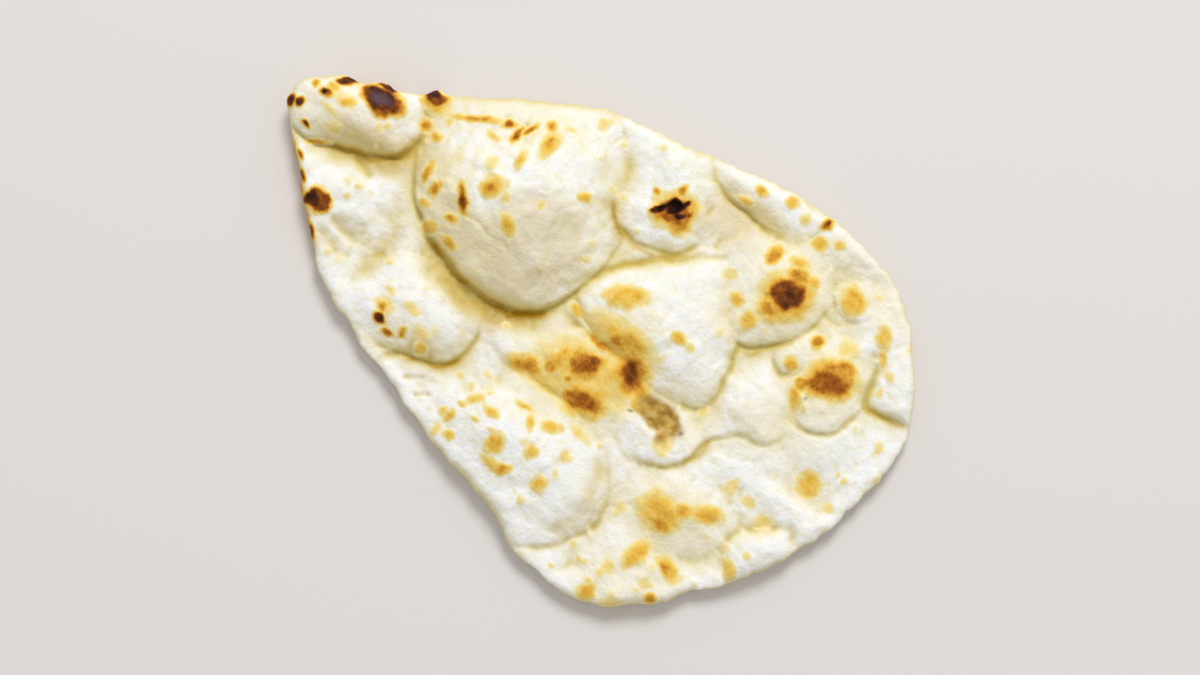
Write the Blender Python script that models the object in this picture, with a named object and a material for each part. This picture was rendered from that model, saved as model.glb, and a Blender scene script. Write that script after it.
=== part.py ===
"""A naan: one puffed, blistered teardrop of flatbread, lying flat on its baked underside.

The bread is one solid. Its plan is a teardrop with the narrow end at -X and the broad end at +X. A layer
of dough carries bubbles, which are domes with uneven outlines, and the seams and tears between them.
Lengths in the tables are in millimetres, and MM turns them into metres when the mesh is made.
"""

import math
from collections import namedtuple

import bmesh
import bpy
import numpy as np
from mathutils import Vector, noise
from mathutils.geometry import delaunay_2d_cdt

MM = 0.001
NOISE_SEED = 42

# Driving dimensions of the layer of dough
DOUGH, CROWN, CROWN_REACH = 6.0, 3.0, 45.0
WAVES = ((46.0, 1.0), (20.0, 0.8), (9.0, 0.35))
WANDER, WANDER_WAVE = 1.6, 15.0
EQUATOR = 3.2
EDGE_ROUND, EDGE_ROUND_LEAST, EDGE_ROUND_MOST = 0.9, 4.5, 12.0
UNDER_ROUND = 3.0
RIM_LIFT, RIM_LIFT_REACH = 3.5, 26.0
TIP_LIFT, TIP_LIFT_START, TIP_LIFT_END = 3.0, -85.0, -150.0

# Spacing of the mesh
TOP_SPACING, UNDER_SPACING, OUTLINE_SPACING, CREASE_SPACING = 3.3, 9.0, 3.2, 3.0
TOP_RINGS = (0.6, 2.0, 4.2)
UNDER_RINGS = (0.5, 2.4)
WALL = 2.4

# The plan's outline, anticlockwise from the tip
OUTLINE = (
    (-149.5, -3), (-146, -10), (-134, -20.5), (-120, -32.5), (-104, -46), (-92, -55.5), (-80, -61.5),
    (-62, -68), (-46, -71.5), (-28, -77), (-6, -82.5), (14, -86.5), (28, -89), (44, -96), (60, -98),
    (76, -97.5), (90, -92.5), (104, -81), (111, -73.5), (117, -64), (128, -50), (138, -32), (141, -22),
    (147, -6), (147.5, 5), (149.8, 20), (150, 34), (147, 47), (138, 62), (121, 81), (104, 92), (84, 97),
    (62, 98), (40, 95), (20, 90), (-10, 82.5), (-38, 75), (-60, 63), (-80, 49), (-95, 38), (-101, 36.5),
    (-106.5, 30), (-113, 25.8), (-120, 24.8), (-128, 19), (-135, 17), (-143, 10.5), (-148.5, 3.5),
)

# A bubble sags to the side that its lean points to, in degrees, where its wall is steepest. edge is the
# steepness of that wall, from 0 for upright to 1 for low, and soft is how gently the other side runs out,
# from 0 to 1. EASING is how soon the wall turns gentle on the way round. The radii are read anticlockwise
# from +X at equal angles. A steep wall ends in a straight slope, whose share of the radius is STRAIGHT for
# an upright wall, and in a small drop at its foot.
EASING = 0.9
STRAIGHT, DROP_WIDTH = 0.4, 1.6
Bubble = namedtuple("Bubble", "name centre height edge soft lean radii")

BUBBLES = (
    Bubble("tip roll", (-120, 7), 12, 0.40, 0.2, -60,
           (26, 29, 27, 22, 18, 23, 31, 36, 25, 16, 15, 19)),
    Bubble("great bubble", (-47, 22), 21, 0.36, 0.95, -79,
           (49.5, 50, 52, 54, 48, 48, 48, 44, 41, 41, 47.8, 51)),
    Bubble("slit bubble", (8, 58), 5.5, 0.66, 1.0, -80,
           (22, 25, 26, 27, 29, 30, 28, 25, 22, 20.5, 20, 20)),
    Bubble("centre bubble", (46, 16), 9.5, 0.62, 1.0, 5,
           (26, 26, 29, 32, 34, 34, 34, 29, 24, 22, 27, 31)),
    Bubble("centre slope", (19, 14), 7.0, 0.70, 0.8, -80,
           (30, 30, 26, 19, 17, 16, 18, 21, 20, 19, 22, 28)),
    Bubble("upper slope", (36, 38), 5.5, 0.80, 0.8, -60,
           (24, 24, 20, 15, 14, 16, 20, 24)),
    Bubble("dark-topped bubble", (66, 57), 7.5, 0.50, 1.0, -60,
           (22, 25, 28, 31, 33, 34, 33, 29, 27, 27, 23, 21)),
    Bubble("twin blister", (90, 45), 3.5, 0.60, 0.9, -60,
           (8, 10, 12, 11, 11, 12, 12.5, 9)),
    Bubble("scorched bubble", (109, 40), 5.5, 0.58, 0.9, -45,
           (17.5, 18, 22, 26, 24, 20, 18, 18, 19, 21, 20, 18)),
    Bubble("back rim bubble", (38, 87), 6.0, 0.50, 0.6, -90,
           (27, 20, 15, 14, 15, 20, 29, 20, 11.5, 10, 12, 18)),
    Bubble("golden blister", (95, 75), 2.2, 0.85, 1.0, -90,
           (11, 12, 13, 12, 11, 9, 7.5, 8)),
    Bubble("broad end bubble", (134, 58), 4.5, 0.65, 0.6, -100,
           (18, 16, 18, 20, 20, 17, 14, 14, 15, 14, 15, 19)),
    Bubble("lower left bubble", (-45, -43), 9, 0.62, 1.0, -40,
           (25.5, 26, 22, 22, 24, 30, 34, 32, 25, 21, 20, 23)),
    Bubble("pillow", (26, -64), 7.5, 0.80, 1.0, -25,
           (42, 38, 32, 30, 33, 42, 52, 46, 38, 36, 38, 40)),
    Bubble("speckled bubble", (14, -63), 9.0, 0.70, 1.0, -50,
           (33, 30, 25, 22, 24, 30, 34, 30, 23, 18, 20, 27)),
    Bubble("toasted mound", (22, -21), 3.5, 0.80, 0.8, -90,
           (28, 25, 20, 19, 21, 26, 28, 25, 17, 15, 17, 24)),
    Bubble("torn lobe", (64, -19), 4.0, 0.75, 1.0, -45,
           (18.5, 19, 18, 17, 18, 19, 20, 20, 19, 17, 16, 17)),
    Bubble("front rim bubble", (127, -35), 4.5, 0.85, 0.6, -50,
           (18, 18, 18, 15, 11, 11, 12, 13, 15, 18, 18, 16)),
)
UNION = 3.0

# Low swellings of the dough itself, with the same kind of radii
Swell = namedtuple("Swell", "name centre height radii")

SWELLS = (
    Swell("left flank", (-104, -24), 6.0, (30, 26, 19, 24, 38, 38, 32, 30)),
    Swell("left hem", (-80, -52), 3.5, (24, 20, 18, 20, 28, 30, 22, 24)),
    Swell("middle bubble", (89, 15), 4.0, (22, 22, 22, 22, 22, 20, 18, 20)),
    Swell("golden bubble", (94, -42), 4.5, (26, 25, 24, 26, 28, 24, 20, 22)),
    Swell("bench", (-12, -28), 3.0, (28, 16, 12, 16, 24, 14, 12, 16)),
    Swell("back shoulder", (-8, 74), 3.5, (34, 22, 18, 22, 34, 24, 18, 22)),
    Swell("back slope", (34, 66), 2.0, (22, 20, 16, 18, 20, 16, 18, 18)),
    Swell("back rim blister", (77, 90), 2.5, (20, 18, 16, 18, 20, 12, 10, 12)),
    Swell("back end shoulder", (113, 74), 3.0, (22, 22, 22, 20, 20, 18, 18, 18)),
    Swell("right apron", (126, 20), 3.5, (34, 30, 26, 24, 24, 22, 24, 30)),
    Swell("right ridge", (124, -11), 3.0, (34, 16, 11, 14, 28, 14, 11, 16)),
    Swell("front apron", (92, -76), 4.5, (34, 28, 24, 26, 28, 28, 28, 32)),
)

# Seams pinched into the dough. lip is how far the side on the left of the seam stands above the other.
LIP_REACH = 9.0
Seam = namedtuple("Seam", "name depth width lip points")

SEAMS = (
    Seam("below the great bubble", 2.4, 3.0, 0, (
        (-74, -9), (-62, -17), (-46, -20.5), (-26, -20.5), (-11, -13), (-3, -3))),
    Seam("trough by the great bubble", 2.6, 6.0, 0, (
        (-70, -17), (-56, -23), (-40, -26), (-24, -26), (-10, -20), (-2, -10))),
    Seam("left valley", 1.6, 6.0, 0, ((-88, -10), (-79, -24), (-77, -40), (-82, -58))),
    Seam("left dent", 1.4, 3.0, 0, ((-104, -33), (-97, -36), (-89, -35), (-84, -27))),
    Seam("lower left dent", 1.3, 2.8, 0, ((-106, -44), (-97, -42), (-89, -44), (-82, -40))),
    Seam("back fold", 1.3, 2.0, 0, (
        (-2, -5), (-1, 8), (4, 19), (12, 30), (25, 43), (38, 54), (47, 61))),
    Seam("front fold", 1.0, 1.4, 1.1, (
        (55, -36), (66, -34), (76, -30), (82, -20), (82.5, -12), (88, -3), (95, 1.5), (103, 4.5), (109, 15))),
    Seam("right band", 0.8, 3.6, 0, ((102, -5), (116, -5), (132, -4.5), (147, -6))),
    Seam("broad end fold", 1.6, 1.6, 0, (
        (119, 62), (122, 53), (126, 44), (134, 44.5), (141, 47), (152, 45.5))),
    Seam("centre side", 0.6, 1.3, 0.5, ((74, -4), (72.5, 8), (71, 20), (67, 29))),
    Seam("centre foot", 1.3, 1.7, 1.5, ((-2, -5), (8, -6.5), (20, -5.5), (32, -3))),
    Seam("tip fork", 1.4, 1.8, 0, ((-114, -6), (-106, -9), (-97, -12.5))),
    Seam("lower left tail", 0.7, 1.8, 0, ((-20, -37), (-12, -35.5), (-3, -36.5), (6, -38))),
    Seam("golden bubble's side", 0.9, 2.8, 0, ((100, -57), (110, -53), (115, -42), (115, -31), (111, -24))),
    Seam("hem pleat", 1.6, 2.2, 0, ((-41, -62), (-46, -67), (-48, -74))),
    Seam("front rim pleat", 0.8, 2.4, 0, ((113, -30), (119, -29), (125, -23), (133, -18), (139, -24))),
)

# The pinch around a bubble's foot: its depth, its width, and how slowly and how much the depth swings
PINCH, PINCH_WIDTH = 2.0, 1.7
CUT_WAVE, CUT_SWING = 24.0, 0.9

# Places where the skin tore or fell in
Hollow = namedtuple("Hollow", "name centre half_length half_width turn depth")

HOLLOWS = (
    Hollow("slit", (8.5, 58.5), 8.0, 3.2, 56, 3.5),
    Hollow("fallen skin", (60.5, -15), 13.0, 7.5, -8, 2.2),
    Hollow("fallen corner", (69, -22), 5.0, 5.5, 0, 1.6),
)


def curve_between(p0, p1, p2, p3, t):
    """The Catmull-Rom curve that runs from p1 to p2."""
    squared = 2 * p0 - 5 * p1 + 4 * p2 - p3
    cubed = 3 * (p1 - p2) + p3 - p0
    return 0.5 * (2 * p1 + (p2 - p0) * t + squared * t**2 + cubed * t**3)


def evenly_spaced(path, spacing):
    """The path cut into equal steps of about that spacing."""
    along = np.concatenate([[0], np.cumsum(np.linalg.norm(np.diff(path, axis=0), axis=1))])
    at = np.linspace(0, along[-1], round(along[-1] / spacing) + 1)
    return np.stack([np.interp(at, along, path[:, axis]) for axis in (0, 1)], 1)


def smooth_path(points, spacing, closed=False):
    """A curve through the points. A closed one leaves out the last point, which would repeat the first."""
    ends = np.array(points, float)
    if closed:
        ends = np.vstack([ends[-1], ends, ends[:2]])
    else:
        ends = np.vstack([2 * ends[0] - ends[1], ends, 2 * ends[-1] - ends[-2]])
    t = np.linspace(0, 1, 16)[:, None]
    pieces = [curve_between(*four, t) for four in zip(ends, ends[1:], ends[2:], ends[3:])]
    path = evenly_spaced(np.vstack(pieces), spacing)
    return path[:-1] if closed else path


def nearest_on(xy, path, closed=False):
    """Each point's distance to the path, how far along the path the nearest place is, and its side.

    The place runs from 0 to 1, and the side is 1 on the left of the path and -1 on the right.
    """
    starts = path if closed else path[:-1]
    ends = np.roll(path, -1, 0) if closed else path[1:]
    best = np.full(len(xy), np.inf)
    place, hand = np.zeros(len(xy)), np.ones(len(xy))
    for i, (a, b) in enumerate(zip(starts, ends)):
        step, away = b - a, xy - a
        t = np.clip(away @ step / (step @ step), 0, 1)
        gap = np.linalg.norm(away - t[:, None] * step, axis=1)
        nearer = gap < best
        best[nearer] = gap[nearer]
        place[nearer] = (i + t[nearer]) / len(starts)
        hand[nearer] = np.sign(step[0] * away[nearer, 1] - step[1] * away[nearer, 0])
    return best, place, hand


def inside(xy, loop):
    """True for each point within the closed loop."""
    found = np.zeros(len(xy), bool)
    for (x0, y0), (x1, y1) in zip(loop, np.roll(loop, -1, 0)):
        if y0 != y1:
            crosses = (y0 > xy[:, 1]) != (y1 > xy[:, 1])
            found ^= crosses & (xy[:, 0] < (x1 - x0) * (xy[:, 1] - y0) / (y1 - y0) + x0)
    return found


def smooth_step(share):
    share = np.clip(share, 0, 1)
    return share * share * (3 - 2 * share)


def radius_at(form, angle):
    """The radius of the bubble's or swelling's outline in that direction."""
    radii = np.array(form.radii, float)
    turn = angle / (2 * math.pi) % 1 * len(radii)
    i = turn.astype(int) % len(radii)
    four = [radii[(i + k) % len(radii)] for k in (-1, 0, 1, 2)]
    return curve_between(*four, turn - np.floor(turn))


def reach(xy, form):
    """Each point's direction from the form's centre, its distance as a share of the radius, the radius."""
    away = xy - np.array(form.centre, float)
    angle = np.arctan2(away[:, 1], away[:, 0])
    radius = radius_at(form, angle)
    return angle, np.linalg.norm(away, axis=1) / radius, radius


def dome(xy, bubble):
    """The bubble's height at each point, and the depth of the pinch around its foot."""
    angle, share, radius = reach(xy, bubble)
    gentle = bubble.soft * smooth_step(EASING * (1 - np.cos(angle - math.radians(bubble.lean))))
    flat = math.sqrt(1 - bubble.edge**2)
    curved = np.minimum(share, 1 - STRAIGHT * (1 - bubble.edge))
    root = np.sqrt(1 - (flat * curved) ** 2)
    cap = (root - bubble.edge - flat**2 * curved / root * (share - curved)) / (1 - bubble.edge)
    cap *= smooth_step((1 - share) * radius / DROP_WIDTH)
    slope = np.clip(1 - share**2, 0, 1) ** 1.3
    pinch = PINCH * (1 - bubble.edge) * (1 - gentle) ** 2
    pinch *= np.exp(-(((share - 1) * radius / PINCH_WIDTH) ** 2))
    return bubble.height * np.maximum(cap * (1 - gentle) + slope * gentle, 0), pinch


def hollow_depth(xy, hollow):
    turn = math.radians(hollow.turn)
    away = xy - np.array(hollow.centre, float)
    along = away @ [math.cos(turn), math.sin(turn)] / hollow.half_length
    across = away @ [-math.sin(turn), math.cos(turn)] / hollow.half_width
    return hollow.depth * smooth_step(1.6 * (1 - np.hypot(along, across)))


def noise_sum(xy, waves):
    """Perlin noise at a few wavelengths, each with its height."""
    total = np.zeros(len(xy))
    for layer, (wavelength, height) in enumerate(waves):
        total += [height * noise.noise(Vector((x / wavelength, y / wavelength, layer))) for x, y in xy]
    return total


def wander(xy):
    """How far each point is moved before its relief is read, so that no outline is too regular."""
    return np.array([noise.noise_vector(Vector((x, y, 0)) / WANDER_WAVE)[:2] for x, y in xy]) * WANDER


def lift_of(xy, rim):
    """How far the underside rises off the table, towards the rim and under the tip."""
    curl = RIM_LIFT * np.clip(1 - rim / RIM_LIFT_REACH, 0, 1) ** 2
    tip = np.clip((xy[:, 0] - TIP_LIFT_START) / (TIP_LIFT_END - TIP_LIFT_START), 0, 1) ** 2
    return curl + TIP_LIFT * tip


def relief_of(xy):
    """The height of bubbles, seams and hollows over the plain layer of dough."""
    xy = xy + wander(xy)
    total, cut, lip = np.zeros(len(xy)), np.zeros(len(xy)), np.zeros(len(xy))
    for bubble in BUBBLES:
        height, pinch = dome(xy, bubble)
        total += height**UNION
        cut = np.maximum(cut, pinch)
    raised = total ** (1 / UNION)
    cut *= np.clip(1 - raised / 7, 0, 1) * (1 + noise_sum(xy, ((CUT_WAVE, CUT_SWING),)))
    for swell in SWELLS:
        raised += swell.height * np.clip(1 - reach(xy, swell)[1] ** 2, 0, 1) ** 2
    for seam in SEAMS:
        gap, place, hand = nearest_on(xy, smooth_path(seam.points, 2.0))
        taper = smooth_step(4 * np.minimum(place, 1 - place) + 0.1)
        cut = np.maximum(cut, seam.depth * taper * np.exp(-((gap / seam.width) ** 2)))
        left = 0.5 + 0.5 * np.tanh(hand * gap / seam.width)
        lip += seam.lip * taper * left * np.exp(-((gap / LIP_REACH) ** 2))
    for hollow in HOLLOWS:
        cut += hollow_depth(xy, hollow)
    return raised + lip - cut


def top_of(xy, rim):
    """The height of the upper surface."""
    lift = lift_of(xy, rim)
    edge = lift + EQUATOR
    full = lift + DOUGH + CROWN * smooth_step(rim / CROWN_REACH) + relief_of(xy) + noise_sum(xy, WAVES)
    rounding = np.clip(EDGE_ROUND * (full - edge), EDGE_ROUND_LEAST, EDGE_ROUND_MOST)
    share = np.clip(rim / rounding, 0, 1)
    return edge + (full - edge) * np.sqrt(1 - (1 - share) ** 2)


def under_of(xy, rim):
    """The height of the underside, which is flat but for its lifted, rounded rim."""
    share = np.clip(rim / UNDER_ROUND, 0, 1)
    return lift_of(xy, rim) + EQUATOR * (1 - np.sqrt(1 - (1 - share) ** 2))


def rings_within(loop, insets):
    """Copies of the loop moved inwards, without the points that fall too near another part of it."""
    along = np.roll(loop, -1, 0) - np.roll(loop, 1, 0)
    inwards = np.stack([-along[:, 1], along[:, 0]], 1) / np.linalg.norm(along, axis=1)[:, None]
    for inset in insets:
        ring = loop + inwards * inset
        yield ring[nearest_on(ring, loop, closed=True)[0] > 0.9 * inset]


def crease_points():
    """Points along the foot and the wall of each bubble, and along each seam."""
    for bubble in BUBBLES:
        angle = np.linspace(0, 2 * math.pi, 72, endpoint=False)
        ray = np.stack([np.cos(angle), np.sin(angle)], 1)
        for inset in (0, WALL):
            ring = bubble.centre + (radius_at(bubble, angle) - inset)[:, None] * ray
            ring = evenly_spaced(np.vstack([ring, ring[:1]]), CREASE_SPACING)
            yield ring - wander(ring)
    for seam in SEAMS:
        path = smooth_path(seam.points, CREASE_SPACING)
        yield path - wander(path)


def triangular_lattice(low, high, spacing):
    rows = []
    for row, y in enumerate(np.arange(low[1], high[1], spacing * math.sqrt(3) / 2)):
        x = np.arange(low[0] + spacing / 2 * (row % 2), high[0], spacing)
        rows.append(np.stack([x, np.full(len(x), y)], 1))
    return np.vstack(rows)


def thinned(first, others, gap):
    """The first points, and each of the others that is at least the gap from all those before it."""
    kept = np.full((len(first) + len(others), 2), np.inf)
    kept[: len(first)] = first
    count = len(first)
    for point in others:
        if np.min(np.sum((kept[:count] - point) ** 2, axis=1)) > gap**2:
            kept[count] = point
            count += 1
    return kept[:count]


def spread_points(loop, rings, spacing, creases):
    """Points for the mesh: the outline, rings that follow it, creases, and a lattice between them."""
    edge = np.vstack([loop, *rings_within(loop, rings)])
    fill = np.vstack([*creases, triangular_lattice(loop.min(0), loop.max(0), spacing)])
    fill = fill[inside(fill, loop)]
    fill = fill[nearest_on(fill, loop, closed=True)[0] > rings[-1] + 0.5 * spacing]
    return thinned(edge, fill, 0.68 * spacing)


def triangles_over(points, outline_count):
    """Delaunay triangles between the points, within the outline, all turned anticlockwise."""
    edges = [(i, (i + 1) % outline_count) for i in range(outline_count)]
    made = delaunay_2d_cdt([Vector(p) for p in points], edges, [], 1, 1e-6)
    found = []
    for a, b, c in made[2]:
        (x0, y0), (x1, y1), (x2, y2) = points[a], points[b], points[c]
        turn = (x1 - x0) * (y2 - y0) - (x2 - x0) * (y1 - y0)
        found.append((a, b, c) if turn > 0 else (a, c, b))
    return found


def rim_distance(points, loop):
    rim = nearest_on(points, loop, closed=True)[0]
    rim[: len(loop)] = 0
    return rim


def bread_mesh(name):
    """The closed surface: the top and the underside share the outline, which is the bread's equator."""
    loop = smooth_path(OUTLINE, OUTLINE_SPACING, closed=True)
    mesh = bmesh.new()
    top = spread_points(loop, TOP_RINGS, TOP_SPACING, crease_points())
    under = spread_points(loop, UNDER_RINGS, UNDER_SPACING, ())
    top_height = top_of(top, rim_distance(top, loop))
    under_height = under_of(under, rim_distance(under, loop))
    upper = [mesh.verts.new((x * MM, y * MM, z * MM)) for (x, y), z in zip(top, top_height)]
    lower = upper[: len(loop)]
    for (x, y), z in zip(under[len(loop):], under_height[len(loop):]):
        lower.append(mesh.verts.new((x * MM, y * MM, z * MM)))
    for a, b, c in triangles_over(top, len(loop)):
        mesh.faces.new((upper[a], upper[b], upper[c]))
    for a, b, c in triangles_over(under, len(loop)):
        mesh.faces.new((lower[a], lower[c], lower[b]))
    data = bpy.data.meshes.new(name)
    mesh.to_mesh(data)
    mesh.free()
    data.shade_smooth()
    return data


def crust():
    """Pale, floury baked dough."""
    material = bpy.data.materials.new("crust")
    material.use_nodes = True
    shader = material.node_tree.nodes["Principled BSDF"]
    shader.inputs["Base Color"].default_value = (0.86, 0.79, 0.62, 1)
    shader.inputs["Roughness"].default_value = 0.75
    shader.inputs["Metallic"].default_value = 0
    return material


def main():
    for old in list(bpy.data.objects):
        bpy.data.objects.remove(old)
    noise.seed_set(NOISE_SEED)
    bread = bpy.data.objects.new("naan", bread_mesh("naan"))
    bread.data.materials.append(crust())
    bpy.context.scene.collection.objects.link(bread)


main()
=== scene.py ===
"""The looks of the naan: its finely meshed, blistered and browned crust, on a pale floor in soft light.

The crust repeats the solid's shape at a finer spacing, and adds wrinkles, small blisters and pores. Lengths
in the tables are in millimetres, in the solid's frame, and MM turns them into metres.
"""

import math
from collections import namedtuple

import bpy
import numpy as np
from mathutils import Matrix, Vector, noise
from mathutils.geometry import delaunay_2d_cdt


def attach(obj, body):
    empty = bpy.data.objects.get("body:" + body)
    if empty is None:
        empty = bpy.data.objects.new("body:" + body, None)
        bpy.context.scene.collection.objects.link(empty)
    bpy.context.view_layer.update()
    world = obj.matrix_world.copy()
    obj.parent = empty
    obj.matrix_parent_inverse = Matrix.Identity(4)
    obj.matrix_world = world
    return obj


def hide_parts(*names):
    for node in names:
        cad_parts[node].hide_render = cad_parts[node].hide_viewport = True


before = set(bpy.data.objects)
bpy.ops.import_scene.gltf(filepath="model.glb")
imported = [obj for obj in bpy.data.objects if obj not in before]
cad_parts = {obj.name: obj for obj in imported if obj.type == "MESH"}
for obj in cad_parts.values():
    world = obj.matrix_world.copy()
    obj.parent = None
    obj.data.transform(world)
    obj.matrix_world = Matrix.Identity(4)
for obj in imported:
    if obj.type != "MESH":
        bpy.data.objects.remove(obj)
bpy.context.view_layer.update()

MM = 0.001
NOISE_SEED = 42

# The layer of dough, with the solid's own driving dimensions: its thickness at the rim and how much more it
# has in the middle, its unevenness, how far outlines stray, the height of its widest outline, the rounding
# over and under that, and how the rim and the tip lift off the table
DOUGH, CROWN, CROWN_REACH = 6.0, 3.0, 45.0
WAVES = ((46.0, 1.0), (20.0, 0.8), (9.0, 0.35))
WANDER, WANDER_WAVE = 1.6, 15.0
EQUATOR = 3.2
EDGE_ROUND, EDGE_ROUND_LEAST, EDGE_ROUND_MOST = 0.9, 4.5, 12.0
UNDER_ROUND = 3.0
RIM_LIFT, RIM_LIFT_REACH = 3.5, 26.0
TIP_LIFT, TIP_LIFT_START, TIP_LIFT_END = 3.0, -85.0, -150.0

# Spacing of the fine mesh, and how far the rings that follow its outline lie within it. A ring's points keep
# RING_GAP of that from every part of the outline, and the lattice keeps LATTICE_GAP of its spacing from the
# last ring.
TOP_SPACING, UNDER_SPACING, OUTLINE_SPACING = 0.78, 3.2, 0.78
TOP_RINGS = (0.25, 0.6, 1.1, 1.8)
UNDER_RINGS = (0.3, 0.8, 1.5, 2.6)
RING_GAP, LATTICE_GAP = 0.9, 0.6

# Spacing of the points on seams, wrinkles and shades, and the finer steps that every curve is drawn with
PATH_SPACING = 2.0
STEPS_BETWEEN_POINTS = 16

# Unevenness finer than the solid's: the wavelength and the height of each layer of noise, or the wavelength
# and the reach of each wander
FINE_WAVES = ((14.0, 0.80), (8.0, 0.60), (4.4, 0.36), (2.3, 0.20))
FINE_WANDERS = ((18.0, 4.0), (6.5, 1.6))
EDGE_WANDERS = ((8.0, 0.9), (3.6, 0.4))
CHAR_WAVES = ((3.2, 0.55), (1.7, 0.35))
OUTLINE_WAVES = ((15.0, 1.1), (6.0, 0.8), (2.6, 0.4))
FINE_INSET = 3.0

# Toast puffs the crust up, and from a tone on it makes it rough
TOAST_RISE = 0.5
ROUGH_FROM, ROUGH_OVER = 0.55, 0.3

# Painted shade: olive yellow gathers where the top lies lower than its surroundings, in fine lines, creases
# and valleys, where shade falls; creases are also yellower for their thinner flour. Each name has how much
# lower it lies for the full colour, and the rounds of averaging that make the surroundings. Fine lines and
# creases fade at the rim.
LINE_DEPTH, LINE_ROUNDS = 0.25, 4
CREASE_DEPTH, CREASE_ROUNDS = 0.6, 14
VALLEY_DEPTH, VALLEY_ROUNDS = 3.0, 300
SOFTENING_ROUNDS = 3
CREASE_INSET = 4.0

# Steep places are creamier, for their thinner flour and as painted shade on the walls of bubbles, less so
# at the rim. STEEP is one minus the height of the normal there.
STEEP = 0.45
RIM_FLANK, FLANK_INSET, FLANK_OVER = 0.4, 4.0, 8.0

# How far under the bread the rim's toast runs, and over which stretch the underside's own browning comes up
ROLLED, BENEATH = 5.0, 6.0

# Small blisters strewn over the dough: how many, and the range of their radii, heights and browned tops. The
# power rounds them. A browned top is full tone in the middle and fades out over 1 / TOP_FADE of the radius.
BLISTERS, BLISTER_RADII, BLISTER_HEIGHTS = 340, (1.6, 5.5), (0.15, 0.7)
BLISTER_TONES, BLISTER_SEED = (-0.12, 0.24), 7
BLISTER_POWER, TOP_FULL, TOP_FADE = 1.5, 1.1, 1.4

# The plan's outline, anticlockwise from the tip
OUTLINE = (
    (-149.5, -3), (-146, -10), (-134, -20.5), (-120, -32.5), (-104, -46), (-92, -55.5), (-80, -61.5),
    (-62, -68), (-46, -71.5), (-28, -77), (-6, -82.5), (14, -86.5), (28, -89), (44, -96), (60, -98),
    (76, -97.5), (90, -92.5), (104, -81), (111, -73.5), (117, -64), (128, -50), (138, -32), (141, -22),
    (147, -6), (147.5, 5), (149.8, 20), (150, 34), (147, 47), (138, 62), (121, 81), (104, 92), (84, 97),
    (62, 98), (40, 95), (20, 90), (-10, 82.5), (-38, 75), (-60, 63), (-80, 49), (-95, 38), (-101, 36.5),
    (-106.5, 30), (-113, 25.8), (-120, 24.8), (-128, 19), (-135, 17), (-143, 10.5), (-148.5, 3.5),
)

# A bubble sags to the side that its lean points to, in degrees, where its wall is steepest. edge is the
# steepness of that wall, from 0 for upright to 1 for low, and soft is how gently the other side runs out,
# from 0 to 1. EASING is how soon the wall turns gentle on the way round. The radii are read anticlockwise
# from +X at equal angles. A steep wall ends in a straight slope, whose share of the radius is STRAIGHT for
# an upright wall, and in a small drop at its foot.
EASING = 0.9
STRAIGHT, DROP_WIDTH = 0.4, 1.6
Bubble = namedtuple("Bubble", "name centre height edge soft lean radii")

BUBBLES = (
    Bubble("tip roll", (-120, 7), 12, 0.40, 0.2, -60,
           (26, 29, 27, 22, 18, 23, 31, 36, 25, 16, 15, 19)),
    Bubble("great bubble", (-47, 22), 21, 0.36, 0.95, -79,
           (49.5, 50, 52, 54, 48, 48, 48, 44, 41, 41, 47.8, 51)),
    Bubble("slit bubble", (8, 58), 5.5, 0.66, 1.0, -80,
           (22, 25, 26, 27, 29, 30, 28, 25, 22, 20.5, 20, 20)),
    Bubble("centre bubble", (46, 16), 9.5, 0.62, 1.0, 5,
           (26, 26, 29, 32, 34, 34, 34, 29, 24, 22, 27, 31)),
    Bubble("centre slope", (19, 14), 7.0, 0.70, 0.8, -80,
           (30, 30, 26, 19, 17, 16, 18, 21, 20, 19, 22, 28)),
    Bubble("upper slope", (36, 38), 5.5, 0.80, 0.8, -60,
           (24, 24, 20, 15, 14, 16, 20, 24)),
    Bubble("dark-topped bubble", (66, 57), 7.5, 0.50, 1.0, -60,
           (22, 25, 28, 31, 33, 34, 33, 29, 27, 27, 23, 21)),
    Bubble("twin blister", (90, 45), 3.5, 0.60, 0.9, -60,
           (8, 10, 12, 11, 11, 12, 12.5, 9)),
    Bubble("scorched bubble", (109, 40), 5.5, 0.58, 0.9, -45,
           (17.5, 18, 22, 26, 24, 20, 18, 18, 19, 21, 20, 18)),
    Bubble("back rim bubble", (38, 87), 6.0, 0.50, 0.6, -90,
           (27, 20, 15, 14, 15, 20, 29, 20, 11.5, 10, 12, 18)),
    Bubble("golden blister", (95, 75), 2.2, 0.85, 1.0, -90,
           (11, 12, 13, 12, 11, 9, 7.5, 8)),
    Bubble("broad end bubble", (134, 58), 4.5, 0.65, 0.6, -100,
           (18, 16, 18, 20, 20, 17, 14, 14, 15, 14, 15, 19)),
    Bubble("lower left bubble", (-45, -43), 9, 0.62, 1.0, -40,
           (25.5, 26, 22, 22, 24, 30, 34, 32, 25, 21, 20, 23)),
    Bubble("pillow", (26, -64), 7.5, 0.80, 1.0, -25,
           (42, 38, 32, 30, 33, 42, 52, 46, 38, 36, 38, 40)),
    Bubble("speckled bubble", (14, -63), 9.0, 0.70, 1.0, -50,
           (33, 30, 25, 22, 24, 30, 34, 30, 23, 18, 20, 27)),
    Bubble("toasted mound", (22, -21), 3.5, 0.80, 0.8, -90,
           (28, 25, 20, 19, 21, 26, 28, 25, 17, 15, 17, 24)),
    Bubble("torn lobe", (64, -19), 4.0, 0.75, 1.0, -45,
           (18.5, 19, 18, 17, 18, 19, 20, 20, 19, 17, 16, 17)),
    Bubble("front rim bubble", (127, -35), 4.5, 0.85, 0.6, -50,
           (18, 18, 18, 15, 11, 11, 12, 13, 15, 18, 18, 16)),
)

# The power that overlapping bubbles are summed with, and the one that rounds their gentle sides
UNION, SLOPE_POWER = 3.0, 1.3

# Low swellings of the dough itself, with the same kind of radii
Swell = namedtuple("Swell", "name centre height radii")

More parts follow.
